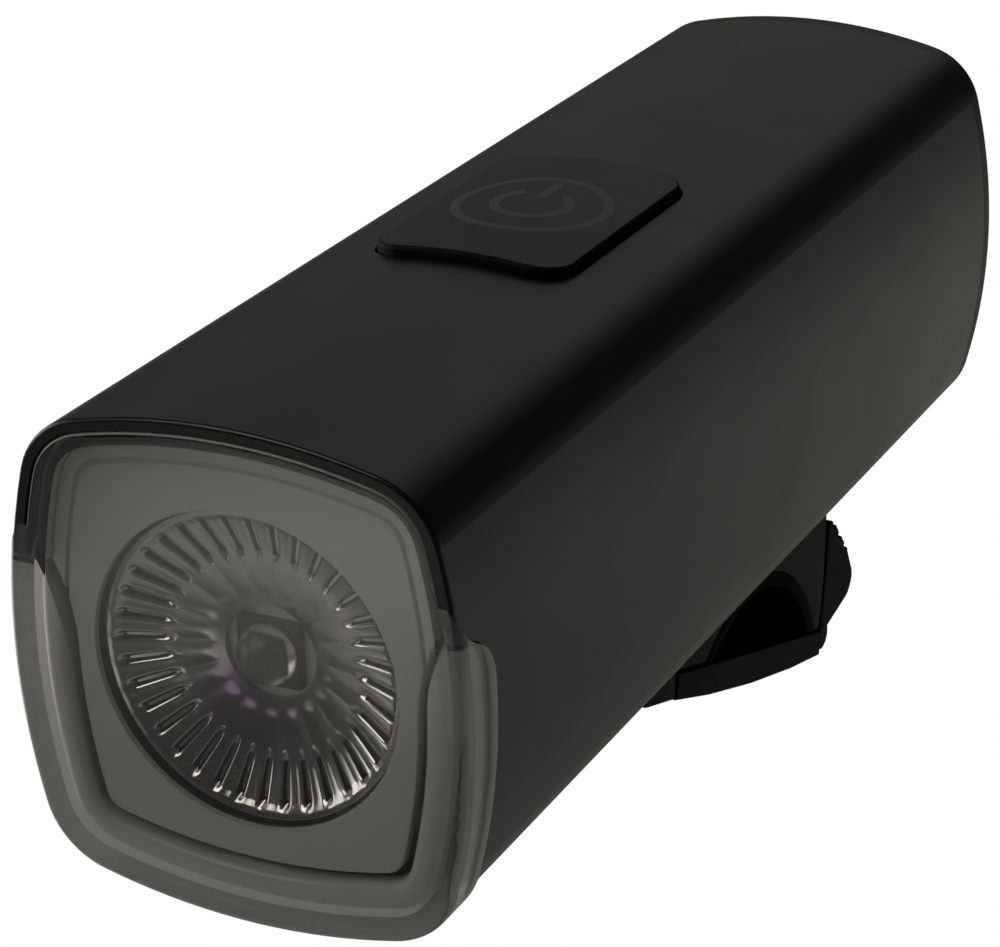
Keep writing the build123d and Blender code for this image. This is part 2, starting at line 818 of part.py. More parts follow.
# Strap: an eye on the pin, a run with windows and a head whose window takes the hook
def rubber_strap():
    half = bracket_half_width
    strap = side_profile(strap_outline(0), -half, half)
    rounded = [from_corner(0, 0), from_corner(lobe_low_reach, lobe_low_rise),
               from_corner(lobe_tip_reach, lobe_tip_rise), from_corner(lobe_high_reach, lobe_high_rise),
               from_corner(head_top_reach, head_top_rise)]
    sharp = [from_corner(-strap_thickness, head_top_rise), from_corner(-2 * strap_thickness, strap_thickness)]
    head = side_profile(rounded[:1] + [from_corner(-notch_inset, notch_rise)] + rounded[1:] + sharp, -half, half)
    edges = [edge for edge in head.edges().filter_by(Axis.X)
             if min(math.dist((edge.center().Y, edge.center().Z), end) for end in rounded) < seam]
    head = fillet(edges, head_round)
    head -= cross_rod(head_inner_radius, pin_from_front, pin_z, -half - overrun, half + overrun)
    slope = (head_top_rise - lobe_high_rise) / (lobe_high_reach - head_top_reach)
    for place in range(grip_count):
        reach = (lobe_high_reach + head_top_reach) / 2 + (place - (grip_count - 1) / 2) * grip_pitch / slope
        groove = from_corner(reach, head_top_rise - (reach - head_top_reach) * slope)
        head -= cross_rod(grip_radius, *groove, -half - overrun, half + overrun)
    strap -= side_profile([from_corner(-strap_thickness, corner_drop), from_corner(lobe_tip_reach, corner_drop),
                           from_corner(lobe_tip_reach, -corner_drop),
                           from_corner(-strap_thickness, -corner_drop)], -half, half)
    strap = strap + head
    for low, high in ((-half - overrun, -strap_eye_half_width), (strap_eye_half_width, half + overrun)):
        strap -= cross_rod(shoulder_radius, pin_from_front, pin_z, low, high)
    strap += cross_rod(strap_eye_radius, pin_from_front, pin_z, -strap_eye_half_width, strap_eye_half_width)
    strap -= cross_rod(pin_radius + pin_running_gap, pin_from_front, pin_z, -half, half)
    inside, outside = corner_back - 2 * strap_thickness, corner_back + lobe_tip_reach
    strap -= side_profile([from_pin(inside, window_high), from_pin(outside, window_high),
                           from_pin(outside, window_low), from_pin(inside, window_low)],
                          -window_half_width, window_half_width)
    for place in range(strap_window_count):
        far = strap_window_from_corner + place * strap_window_pitch
        near = far + strap_window_length
        corners = [(far, -overrun), (near, -overrun), (near, overrun), (far, overrun)]
        strap -= side_profile([on_run(*corner) for corner in corners], -window_half_width, window_half_width)
    return strap


def strap_pin():
    return cross_rod(pin_radius, pin_from_front, pin_z, -ear_outer, ear_outer)


def bracket_body():
    """The bracket's block before the seat is cut, clear of the strap's run."""
    half = bracket_half_width
    upper_corner, upper_bend, upper_eye = strap_outline(moving_gap)[-3:]
    front_y = pin_from_front + bracket_front_from_pin
    share = (front_y - upper_eye[0]) / (upper_bend[0] - upper_eye[0])
    front_z = upper_eye[1] + share * (upper_bend[1] - upper_eye[1])
    top = -half_height + wall
    body = side_profile([(front_y, top), (front_y, front_z), upper_bend, upper_corner,
                         (upper_corner[0], top)], -half, half)
    rear = cross_rod(head_inner_radius - head_gap, pin_from_front, pin_z, -half, half)
    return body & rear


def bar_bracket():
    half = bracket_half_width
    bracket = bracket_body()
    top = -half_height + wall
    cheek = side_profile([
        (pin_from_front + cheek_front_from_pin, top),
        from_pin(cheek_front_from_pin, bend_drop - (bend_back - cheek_front_from_pin) * run_drop / run_back),
        from_pin(corner_back, corner_drop), (pin_from_front + corner_back, top)], 0, half - cheek_inner)
    ear = side_profile([(pin_from_front - strap_eye_radius, top), from_pin(-strap_eye_radius, 0),
                        from_pin(0, strap_eye_radius), from_pin(bend_back, strap_eye_radius),
                        (pin_from_front + bend_back, top)], 0, ear_outer - cheek_inner)
    ear -= side_profile([from_pin(-overrun, 0), from_pin(0, 0), from_pin(0, overrun),
                         from_pin(-overrun, overrun)], 0, ear_outer - cheek_inner)
    ear += cross_rod(strap_eye_radius, pin_from_front, pin_z, 0, ear_outer - cheek_inner)
    round_end = cross_rod(cheek_radius, pin_from_front, pin_z, 0, half)
    for low, width in ((cheek_inner, half), (-half, -cheek_inner)):
        bracket += Pos(low, 0, 0) * (cheek & round_end)
    for low in (cheek_inner, -ear_outer):
        bracket += Pos(low, 0, 0) * (ear & round_end)
    bracket -= cross_rod(pad_outer_radius, bar_from_front, -bar_below, -half - overrun, half + overrun)
    bracket -= tube(-seam, 0, body_length)
    bracket -= cross_rod(pin_radius + pin_seat_gap, pin_from_front, pin_z, -half, half)
    tip_start = hook_reach - hook_tip_length
    bracket += side_profile([
        from_pin(corner_back - 2 * strap_thickness, hook_high), from_pin(tip_start, hook_high),
        from_pin(tip_start + hook_tip_rise / 2, hook_high - hook_tip_rise), from_pin(hook_reach, hook_high),
        from_pin(hook_reach, hook_high + hook_tip_rise), from_pin(tip_start, hook_low),
        from_pin(corner_back - 2 * strap_thickness, hook_low)], -hook_half_width, hook_half_width)
    for x, y in bracket_screw_places():
        bracket -= upright_rod(bracket_screw_radius + seam, x, y, -body_height, 0)
        bracket -= upright_rod(bracket_screw_head_radius + seam, x, y, -2 * body_height, screw_seat_z)
    return bracket


def bracket_screw_places():
    return [(x, y) for x in (-bracket_screw_offset, bracket_screw_offset)
            for y in (bracket_screw_front, bracket_screw_rear)]


def bracket_screws():
    screws = []
    for x, y in bracket_screw_places():
        head = upright_rod(bracket_screw_head_radius, x, y, screw_seat_z - bracket_screw_head_height, screw_seat_z)
        shaft = upright_rod(bracket_screw_radius, x, y, screw_seat_z, screw_seat_z + bracket_screw_length)
        slot = upright_rod(drive_radius, x, y, screw_seat_z - bracket_screw_head_height,
                           screw_seat_z - bracket_screw_head_height + drive_depth)
        screws.append(head + shaft - slot)
    return Compound(screws)


# Seat pad: a rubber lining with grooves across it, where the bracket meets the bar
def seat_pad():
    half = bracket_half_width
    ring = cross_rod(pad_outer_radius - fit_gap, bar_from_front, -bar_below, -half, half)
    ring -= cross_rod(bar_radius, bar_from_front, -bar_below, -half, half)
    pad = ring & bracket_body()
    grooves = int(half / pad_groove_pitch)
    for place in range(-grooves, grooves + 1):
        x = place * pad_groove_pitch
        pad -= cross_rod(bar_radius + pad_groove, bar_from_front, -bar_below,
                         x - pad_groove_width / 2, x + pad_groove_width / 2)
    return pad


makers = [
    housing_shell, front_lens, lens_trim, lens_gasket, bezel_plate, reflector, led_emitter, led_board, led_board_screws,
    heat_sink, led_wires, battery_cradle, battery_cell, cell_tabs, main_board, control_chips, tactile_switch,
    switch_plunger, status_leds, usb_socket, power_button, button_icon, button_seal, rear_cap, cap_screws,
    rear_gasket, port_flap, rubber_strap, strap_pin, bar_bracket, bracket_screws, seat_pad,
]

os.makedirs("parts", exist_ok=True)
to_bar_axis = Pos(0, -bar_from_front, bar_below)
for maker in makers:
    solids = (to_bar_axis * maker()).solids()
    export_step(Compound(solids) if len(solids) > 1 else solids[0], f"parts/{maker.__name__}.step")
    print(maker.__name__, len(solids))
print("bar axis below the section's middle", round(bar_below, 3))
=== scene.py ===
# %% [markdown]
# A bike headlight for its portrait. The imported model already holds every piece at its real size
# and place, so Blender adds what the eye meets first: finishes, softened edges, the pleated bowl
# behind the lens and the light that they sit in.

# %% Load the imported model
import json
import math

import bmesh
import bpy
from mathutils import Matrix, Vector


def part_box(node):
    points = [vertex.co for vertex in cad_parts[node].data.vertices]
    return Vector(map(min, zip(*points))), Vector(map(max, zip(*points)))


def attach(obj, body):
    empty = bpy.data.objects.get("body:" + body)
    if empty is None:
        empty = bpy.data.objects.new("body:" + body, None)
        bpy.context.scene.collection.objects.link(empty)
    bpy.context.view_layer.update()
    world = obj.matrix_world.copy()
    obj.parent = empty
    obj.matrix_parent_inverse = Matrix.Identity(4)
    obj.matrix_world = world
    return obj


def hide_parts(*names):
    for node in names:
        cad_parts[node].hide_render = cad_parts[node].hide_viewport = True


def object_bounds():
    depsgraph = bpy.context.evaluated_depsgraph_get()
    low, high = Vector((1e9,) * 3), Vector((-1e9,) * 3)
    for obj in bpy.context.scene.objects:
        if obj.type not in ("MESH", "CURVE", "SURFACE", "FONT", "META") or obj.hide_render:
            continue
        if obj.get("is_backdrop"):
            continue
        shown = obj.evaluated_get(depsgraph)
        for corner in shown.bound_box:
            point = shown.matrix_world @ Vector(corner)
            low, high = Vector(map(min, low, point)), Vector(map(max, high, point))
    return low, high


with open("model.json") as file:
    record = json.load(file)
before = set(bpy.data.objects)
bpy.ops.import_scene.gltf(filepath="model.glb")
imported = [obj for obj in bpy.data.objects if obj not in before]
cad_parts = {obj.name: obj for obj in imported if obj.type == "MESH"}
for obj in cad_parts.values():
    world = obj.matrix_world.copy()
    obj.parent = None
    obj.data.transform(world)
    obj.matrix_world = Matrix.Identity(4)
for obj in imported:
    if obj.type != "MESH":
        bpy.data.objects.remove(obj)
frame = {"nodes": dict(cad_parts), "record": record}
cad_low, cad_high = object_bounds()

# %% [markdown]
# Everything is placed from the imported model. The body runs along Y with its glass towards -Y, and
# its long axis passes through the middle of the shell's section, so that middle and the front
# plane are measured once and named.

# %% Measure the body
mm = 0.001
shell_low, shell_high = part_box("housing_shell")
axis_z = (shell_low.z + shell_high.z) / 2
front_y = shell_low.y
rear_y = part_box("rear_cap")[1].y
body_middle = Vector((0, (front_y + rear_y) / 2, axis_z))
print("body middle mm", [round(value / mm, 2) for value in body_middle])

# %% [markdown]
# Where the camera and the lights stand is given by two angles: how far round the lamp from its
# front, and how far above the floor. One helper turns such a pair into a direction.

# %% A helper for directions


def heading(azimuth, elevation):
    """The unit direction at an angle round the lamp from its front, and an angle above the floor."""
    round_angle, rise = math.radians(azimuth), math.radians(elevation)
    flat = math.cos(rise)
    return Vector((math.sin(round_angle) * flat, -math.cos(round_angle) * flat, math.sin(rise)))


# %% [markdown]
# The photograph looks at the lamp from its front right and from above, at close range with a long
# lens. Its edges were matched to the body's, which gave the angle, the distance and a small tilt,
# and the camera stands there.

# %% Set up the camera
picture_width_px = 1000
focal_length_px = 3190.0
sensor_width = 36.0
view_azimuth, view_elevation, view_roll = 26.68, 23.50, -1.05
view_distance = 264.2 * mm
aim_across, aim_up = -5.93 * mm, -5.66 * mm
nearest_seen = 10 * mm

towards_camera = heading(view_azimuth, view_elevation)
level_right = (-towards_camera).cross(Vector((0, 0, 1))).normalized()
level_up = level_right.cross(-towards_camera)
tilt = Matrix.Rotation(-math.radians(view_roll), 3, -towards_camera)
camera_right, camera_up = tilt @ level_right, tilt @ level_up
camera_data = bpy.data.cameras.new("portrait_camera")
camera_data.sensor_fit = "HORIZONTAL"
camera_data.sensor_width = sensor_width
camera_data.lens = focal_length_px / picture_width_px * sensor_width
camera_data.clip_start = nearest_seen
camera = bpy.data.objects.new("portrait_camera", camera_data)
turn = Matrix((camera_right, camera_up, towards_camera)).transposed().to_4x4()
stand = body_middle + towards_camera * view_distance + camera_right * aim_across + camera_up * aim_up
camera.matrix_world = Matrix.Translation(stand) @ turn
bpy.context.scene.collection.objects.link(camera)
bpy.context.scene.camera = camera
bpy.context.scene.view_settings.view_transform = "Standard"
print("camera lens mm", round(camera_data.lens, 2))

# %% [markdown]
# Node trees are written with a few small helpers. The first adds a node, sets its options and
# fills its sockets, either with a value or with a link from another node's output. The others
# wrap what turns up most: a mix of colours or numbers, a sum or product, a measure of vectors,
# and a change of range.

# %% Helpers for nodes


def add_node(tree, kind, inputs=None, **options):
    """A node with its options set and its sockets filled by values or by links."""
    made = tree.nodes.new(kind)
    for name, value in options.items():
        setattr(made, name, value)
    for socket, value in (inputs or {}).items():
        if isinstance(value, bpy.types.NodeSocket):
            tree.links.new(value, made.inputs[socket])
        else:
            made.inputs[socket].default_value = value
    return made


def grey(level):
    """A colour without a hue."""
    return (level, level, level, 1)


def mixed_colour(tree, share, first, second):
    """The colour between two others. A Mix node has its colours in its seventh and eighth sockets."""
    return add_node(tree, "ShaderNodeMix", {0: share, 6: first, 7: second}, data_type="RGBA").outputs[2]


def mixed_level(tree, share, first, second):
    """The number between two others."""
    return add_node(tree, "ShaderNodeMix", {0: share, 2: first, 3: second}, data_type="FLOAT").outputs[0]


def combined(tree, operation, first, second):
    """Two numbers added, multiplied or the like."""
    return add_node(tree, "ShaderNodeMath", {0: first, 1: second}, operation=operation).outputs[0]


def measured(tree, operation, *vectors, **options):
    """A number from one or two vectors: a length, a distance, or how nearly alike they point."""
    return add_node(tree, "ShaderNodeVectorMath", dict(enumerate(vectors)), operation=operation,
                    **options).outputs["Value"]


def ranged(tree, value, start, end, start_level=0.0, end_level=1.0, easing="SMOOTHSTEP"):
    """A level that goes from one to another while a value goes from start to end."""
    return add_node(tree, "ShaderNodeMapRange", {
        "Value": value, "From Min": start, "From Max": end,
        "To Min": start_level, "To Max": end_level}, interpolation_type=easing).outputs[0]


# %% [markdown]
# The photograph has a pure white ground and no shadow. A sheet far below the lamp stands for it.
# It is scenery and no part of the lamp, so it is marked as the stage.

# %% Lay the floor
floor_drop = 60 * mm
floor_half_side = 1.5
floor_z = cad_low.z - floor_drop

floor_mesh = bpy.data.meshes.new("floor")
floor_bm = bmesh.new()
bmesh.ops.create_grid(floor_bm, x_segments=1, y_segments=1, size=floor_half_side)
bmesh.ops.translate(floor_bm, verts=floor_bm.verts, vec=(0, 0, floor_z))
floor_bm.to_mesh(floor_mesh)
floor_bm.free()
floor = bpy.data.objects.new("floor", floor_mesh)
bpy.context.scene.collection.objects.link(floor)
floor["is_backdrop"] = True
print("floor below the lamp mm", round(floor_drop / mm))

# %% [markdown]
# What the lamp mirrors of the floor is darkest close by, as if in the lamp's own shadow, lightest
# some thirty centimetres out, and dim again far off. That draws the soft gradients on the body's
# side. Well in front of the lamp it is dark, so that the flat glass mirrors little and the bowl
# behind it stays deep. A small pool of light there gives the glass a sheen at its upper right,
# and one to the left draws the bright line along the rounded trim. A pool is given by its place
# across and forward, the radii of its core and its edge, and its brightness. The photograph's
# blacks are a little warm, so all that lights the lamp has the same warm tint.

# %% Choose how bright the floor is
warm_light = (1.0, 0.97, 0.88, 1)
floor_near_level, floor_far_level = 0.18, 0.31
floor_near_reach, floor_far_reach = 0.07, 0.29
floor_dim_share, floor_dim_reach = 0.45, 0.80
front_share, front_dark_y, front_light_y = 0.2, -0.21, -0.11
light_pools = {
    "ahead": (-0.095, -0.30, 0.02, 0.11, 0.55),
    "left": (-0.24, -0.02, 0.03, 0.14, 1.2),
}
print("pools of light", sorted(light_pools))

# %% [markdown]
# The floor's material glows by those levels, and only the camera itself sees it as pure white.
# Seen from below it is clear, so that the foot can be looked at too.

# %% Light the floor
floor_material = bpy.data.materials.new("white_table")
floor_material.use_nodes = True
floor_tree = floor_material.node_tree
floor_tree.nodes.clear()
floor_spot = add_node(floor_tree, "ShaderNodeTexCoord").outputs["Object"]


def ring_level(centre, near, far, near_level, far_level):
    """A level that changes smoothly between two distances from a place on the floor."""
    off = measured(floor_tree, "DISTANCE", floor_spot, centre)
    return ranged(floor_tree, off, near, far, near_level, far_level)


floor_middle = (0, 0, floor_z)
rise = ring_level(floor_middle, floor_near_reach, floor_far_reach, floor_near_level, floor_far_level)
dim = ring_level(floor_middle, floor_far_reach, floor_dim_reach, 1.0, floor_dim_share)
along = add_node(floor_tree, "ShaderNodeSeparateXYZ", {0: floor_spot}).outputs["Y"]
front = ranged(floor_tree, along, front_dark_y, front_light_y, front_share, 1.0)
table_level = combined(floor_tree, "MULTIPLY", rise, combined(floor_tree, "MULTIPLY", dim, front))
for across, forward, core, edge, brightness in light_pools.values():
    pool = ring_level((across, forward, floor_z), core, edge, brightness, 0.0)
    table_level = combined(floor_tree, "ADD", table_level, pool)
table_light = add_node(floor_tree, "ShaderNodeEmission", {"Color": warm_light, "Strength": table_level})
seen_white = add_node(floor_tree, "ShaderNodeEmission", {"Strength": 1.0})
seen = add_node(floor_tree, "ShaderNodeMixShader", {
    0: add_node(floor_tree, "ShaderNodeLightPath").outputs["Is Camera Ray"],
    1: table_light.outputs[0], 2: seen_white.outputs[0]})
clear = add_node(floor_tree, "ShaderNodeBsdfTransparent")
sides = add_node(floor_tree, "ShaderNodeMixShader", {
    0: add_node(floor_tree, "ShaderNodeNewGeometry").outputs["Backfacing"],
    1: seen.outputs[0], 2: clear.outputs[0]})
add_node(floor_tree, "ShaderNodeOutputMaterial", {"Surface": sides.outputs[0]})
floor.data.materials.append(floor_material)
print("floor lit by nodes", len(floor_tree.nodes))

# %% [markdown]
# A black object shows little of its own colour. What draws it is the studio mirrored in its
# surface. So the surroundings are a dark room with a few broad soft panels. Each is given in
# degrees by how far round and how high it stands, how wide its core is and where it ends, and
# then by its brightness. The room's dark side is what makes the black band along the body's
# upper right corner. The camera itself sees a plain white room, like the floor.

# %% Hang the soft panels
room_level = 0.028
soft_panels = {
    "behind_left": (206, 30, 12, 36, 0.142),
    "overhead_back": (180, 50, 8, 32, 0.185),
    "left_wall": (275, -8, 10, 44, 2.6),
    "front_high": (322, 48, 4, 22, 2.4),
    "front_low": (40, -22, 4, 24, 0.8),
}
world = bpy.data.worlds.new("studio")
bpy.context.scene.world = world
world.use_nodes = True
studio_tree = world.node_tree
studio_tree.nodes.clear()
direction = add_node(studio_tree, "ShaderNodeTexCoord").outputs["Generated"]
level = room_level
for title, (azimuth, elevation, core, reach, brightness) in soft_panels.items():
    facing = measured(studio_tree, "DOT_PRODUCT", direction, heading(azimuth, elevation), label=title)
    edge_cosine, core_cosine = math.cos(math.radians(reach)), math.cos(math.radians(core))
    panel = ranged(studio_tree, facing, edge_cosine, core_cosine, 0.0, brightness)
    level = combined(studio_tree, "ADD", level, panel)
by_camera = add_node(studio_tree, "ShaderNodeLightPath").outputs["Is Camera Ray"]
strength = mixed_level(studio_tree, by_camera, level, 1.0)
colour = mixed_colour(studio_tree, by_camera, warm_light, grey(1))
studio = add_node(studio_tree, "ShaderNodeBackground", {"Color": colour, "Strength": strength})
add_node(studio_tree, "ShaderNodeOutputWorld", {"Surface": studio.outputs[0]})
print("soft panels", len(soft_panels))

# %% [markdown]
# Three effects turn up on nearly every surface: grain, handling and rubbed edges. Each is built
# once as a node group with named inputs, and placed in a material with that material's values.
# Their coordinates are millimetres on the piece itself. A helper makes the empty group.

# %% A helper for shared effects


def new_effect(name, inputs, outputs):
    """An empty node group with named inputs and outputs, and the nodes for its two ends."""
    group = bpy.data.node_groups.new(name, "ShaderNodeTree")
    for title, kind, value in inputs:
        socket = group.interface.new_socket(title, in_out="INPUT", socket_type="NodeSocket" + kind)
        if value is not None:
            socket.default_value = value
    for title, kind in outputs:
        group.interface.new_socket(title, in_out="OUTPUT", socket_type="NodeSocket" + kind)
    return group, add_node(group, "NodeGroupInput"), add_node(group, "NodeGroupOutput")


# %% [markdown]
# Moulded and blasted surfaces have a fine grain. Noise gives its uneven swell and Voronoi cells
# give its pits, and the two are added into one height for a bump.

# %% Build the grain


def build_grain():
    """The height of a fine grain, for a bump."""
    group, start, end = new_effect(
        "fine grain", [("Place", "Vector", None), ("Grains per mm", "Float", 4.0)],
        [("Height", "Float")])
    place, scale = start.outputs["Place"], start.outputs["Grains per mm"]
    coarse = add_node(group, "ShaderNodeTexNoise", {"Vector": place, "Scale": scale, "Detail": 2.0})
    cells = add_node(group, "ShaderNodeTexVoronoi", {"Vector": place, "Scale": scale})
    height = combined(group, "ADD", coarse.outputs[0], cells.outputs["Distance"])
    group.links.new(height, end.inputs["Height"])
    return group


grain_effect = build_grain()
print("effect", grain_effect.name)

# %% [markdown]
# Hands leave broad patches that are a little glossier. A large soft noise chooses the patches and
# gives the roughness there.

# %% Build the handling marks
patch_start, patch_end = 0.35, 0.65


def build_handling():
    """A roughness that drifts between a clean value and a handled one."""
    group, start, end = new_effect(
        "handling", [("Place", "Vector", None), ("Clean", "Float", 0.4), ("Handled", "Float", 0.32)],
        [("Roughness", "Float")])
    patches = add_node(group, "ShaderNodeTexNoise", {
        "Vector": start.outputs["Place"], "Scale": 0.09, "Detail": 4.0, "Roughness": 0.6})
    roughness = ranged(group, patches.outputs[0], patch_start, patch_end, start.outputs["Clean"],
                       start.outputs["Handled"], easing="LINEAR")
    group.links.new(roughness, end.inputs["Roughness"])
    return group


handling_effect = build_handling()
print("effect", handling_effect.name)

# %% [markdown]
# Edges that rub on things go lighter. A Bevel node rounds the shading near an edge, so where it
# turns away from the true face there is an edge. Noise breaks the line up, as real wear is patchy.

# %% Build the rubbed edge
flat_facing, edge_facing = 0.99, 0.85
speckle_start, speckle_end = 0.42, 0.68


def build_rubbed_edge():
    """A colour that goes lighter in patches along the edges."""
    group, start, end = new_effect(
        "rubbed edge", [("Place", "Vector", None), ("Width", "Float", 0.0003),
                        ("Clean", "Color", grey(0.01)), ("Rubbed", "Color", grey(0.1)),
                        ("Amount", "Float", 0.5)],
        [("Color", "Color")])
    softened = add_node(group, "ShaderNodeBevel", {"Radius": start.outputs["Width"]}, samples=4)
    true_face = add_node(group, "ShaderNodeNewGeometry").outputs["Normal"]
    facing = measured(group, "DOT_PRODUCT", softened.outputs[0], true_face)
    edge_mask = ranged(group, facing, flat_facing, edge_facing, easing="LINEAR")
    speckle = add_node(group, "ShaderNodeTexNoise", {
        "Vector": start.outputs["Place"], "Scale": 0.8, "Detail": 5.0})
    patchy = ranged(group, speckle.outputs[0], speckle_start, speckle_end, 0.0,
                    start.outputs["Amount"], easing="LINEAR")
    mask = combined(group, "MULTIPLY", edge_mask, patchy)
    worn = mixed_colour(group, mask, start.outputs["Clean"], start.outputs["Rubbed"])
    group.links.new(worn, end.inputs["Color"])
    return group


edge_effect = build_rubbed_edge()
print("effect", edge_effect.name)

# %% [markdown]
# A material starts from a bare shader and its coordinates, turned into millimetres. The helpers
# below make that start, place a shared effect, and lead gloss and bump to the shader.

# %% Helpers for a material
grain_bump = 0.02 * mm


def new_finish(name):
    """A bare material with its Principled shader, and its coordinates in millimetres."""
    material = bpy.data.materials.new(name)
    material.use_nodes = True
    tree = material.node_tree
    tree.nodes.clear()
    shader = add_node(tree, "ShaderNodeBsdfPrincipled")
    add_node(tree, "ShaderNodeOutputMaterial", {"Surface": shader.outputs[0]})
    spot = add_node(tree, "ShaderNodeTexCoord").outputs["Object"]
    per_mm = (1 / mm, 1 / mm, 1 / mm)
    place = add_node(tree, "ShaderNodeMapping", {"Vector": spot, "Scale": per_mm}).outputs[0]
    print("finish", name)
    return material, tree, shader, place


def add_effect(tree, effect, **values):
    """A shared effect placed in a material. Underscores stand for the spaces in a socket's name."""
    inputs = {name.replace("_", " "): value for name, value in values.items()}
    return add_node(tree, "ShaderNodeGroup", inputs, node_tree=effect).outputs[0]


def lay_gloss(tree, shader, place, clean, handled):
    """Leads a roughness that varies with handling to the shader."""
    gloss = add_effect(tree, handling_effect, Place=place, Clean=clean, Handled=handled)
    tree.links.new(gloss, shader.inputs["Roughness"])


def lay_bump(tree, shader, strength, height):
    """Leads a height to the shader as bump."""
    bump = add_node(tree, "ShaderNodeBump", {
        "Strength": strength, "Distance": grain_bump, "Height": height})
    tree.links.new(bump.outputs[0], shader.inputs["Normal"])


# %% [markdown]
# Most finishes here are one recipe with other values: a colour that goes lighter where edges rub,
# a roughness that varies with handling, and a fine grain as bump. The function below lays that
# recipe. Values that are the same all over go straight on the shader's own sockets.

# %% The common recipe for a finish


def solid_finish(name, colour, rubbed, clean, handled, grains=4.0, depth=0.3, rub=0.5, edge=0.3, **sockets):
    """The common recipe. Sockets are plain values for the shader, named with underscores."""
    material, tree, shader, place = new_finish(name)
    shown = add_effect(
        tree, edge_effect, Place=place, Width=edge * mm, Clean=colour, Rubbed=rubbed, Amount=rub)
    tree.links.new(shown, shader.inputs["Base Color"])
    lay_gloss(tree, shader, place, clean, handled)
    lay_bump(tree, shader, depth, add_effect(tree, grain_effect, Place=place, Grains_per_mm=grains))
    for socket, value in sockets.items():
        shader.inputs[socket.replace("_", " ")].default_value = value
    return material


finishes = {}

# %% [markdown]
# The shell is aluminium, blasted and anodised black. It is satin, with a soft broad highlight, so
# its roughness sits near 0.3. Its front rim and the edge round the button rub a little lighter.

# %% Finish the shell
finishes["anodised_body"] = solid_finish(
    "black_anodised_shell", (0.0050, 0.0047, 0.0042, 1), (0.05, 0.048, 0.045, 1), 0.32, 0.27,
    grains=5.0, depth=0.12, rub=0.25, edge=0.25)

# %% [markdown]
# The glass is clear polycarbonate. Real glass bends light, so the shader has full transmission
# and the index of polycarbonate. Light that only passes on its way to the pieces behind is let
# straight through, as the renderer can't follow it through glass, and this keeps them lit.

# %% Finish the lens
polycarbonate_index = 1.585


def clear_finish(name, tint, clean, handled):
    """Clear glass or silicone that lets light straight through to what lies behind."""
    material, tree, shader, place = new_finish(name)
    lay_gloss(tree, shader, place, clean, handled)
    shader.inputs["Base Color"].default_value = tint
    shader.inputs["Transmission Weight"].default_value = 1.0
    shader.inputs["IOR"].default_value = polycarbonate_index
    passed = add_node(tree, "ShaderNodeBsdfTransparent", {"Color": tint})
    both = add_node(tree, "ShaderNodeMixShader", {
        0: add_node(tree, "ShaderNodeLightPath").outputs["Is Shadow Ray"],
        1: shader.outputs[0], 2: passed.outputs[0]})
    output = next(node for node in tree.nodes if node.type == "OUTPUT_MATERIAL")
    tree.links.new(both.outputs[0], output.inputs["Surface"])
    return material


finishes["clear_lens"] = clear_finish("clear_polycarbonate", (0.93, 0.93, 0.92, 1), 0.03, 0.05)

# %% [markdown]
# Behind the lens the trim is a smooth pale grey, and the bezel is a duller grey plastic. Both are
# neutral: the warm light gives them their warmth.

# %% Finish the trim and the bezel
finishes["trim_ring"] = solid_finish(
    "satin_grey_trim", grey(0.44), grey(0.50), 0.26, 0.20, grains=3.0, depth=0.08)
finishes["grey_bezel"] = solid_finish(
    "grey_bezel_plastic", grey(0.425), grey(0.475), 0.48, 0.42, grains=4.0, depth=0.2)

# %% [markdown]
# The cap is an ordinary black plastic. The bracket is the deepest black in the picture, a dyed
# nylon with hardly any sheen, so its specular level is low as well.

# %% Finish the black plastics
finishes["black_plastic"] = solid_finish(
    "black_moulded_plastic", (0.011, 0.011, 0.0105, 1), grey(0.05), 0.46, 0.38,
    grains=3.5, depth=0.35, rub=0.3)
finishes["bracket_plastic"] = solid_finish(
    "black_bracket_nylon", (0.0017, 0.0018, 0.0017, 1), grey(0.05), 0.5, 0.42,
    grains=2.6, depth=0.5, rub=0.5, Specular_IOR_Level=0.06)

# %% [markdown]
# Rubber is rougher than plastic and its grain is coarser. The strap and the pad are dull, and the
# button is softer to the eye, with a faint sheen where the thumb lands.

# %% Finish the rubbers
finishes["dark_rubber"] = solid_finish(
    "dark_seal_rubber", grey(0.012), grey(0.03), 0.7, 0.6, grains=3.0, depth=0.3)
finishes["strap_rubber"] = solid_finish(
    "black_strap_rubber", (0.0019, 0.0020, 0.0019, 1), grey(0.04), 0.58, 0.5,
    grains=2.2, depth=0.4, rub=0.5, Specular_IOR_Level=0.06)
finishes["pad_rubber"] = solid_finish(
    "grey_pad_rubber", (0.004, 0.0042, 0.004, 1), grey(0.02), 0.75, 0.66,
    grains=2.4, depth=0.5, rub=0.2, Specular_IOR_Level=0.03)
finishes["button_rubber"] = solid_finish(
    "soft_button_rubber", (0.0085, 0.008, 0.0075, 1), grey(0.03), 0.44, 0.37,
    grains=3.2, depth=0.25, rub=0.25)

# %% [markdown]
# The pieces inside have colours of their own: black chips, an amber plunger, a blue sleeve round
# the cell, red wires and a white board under the light source.

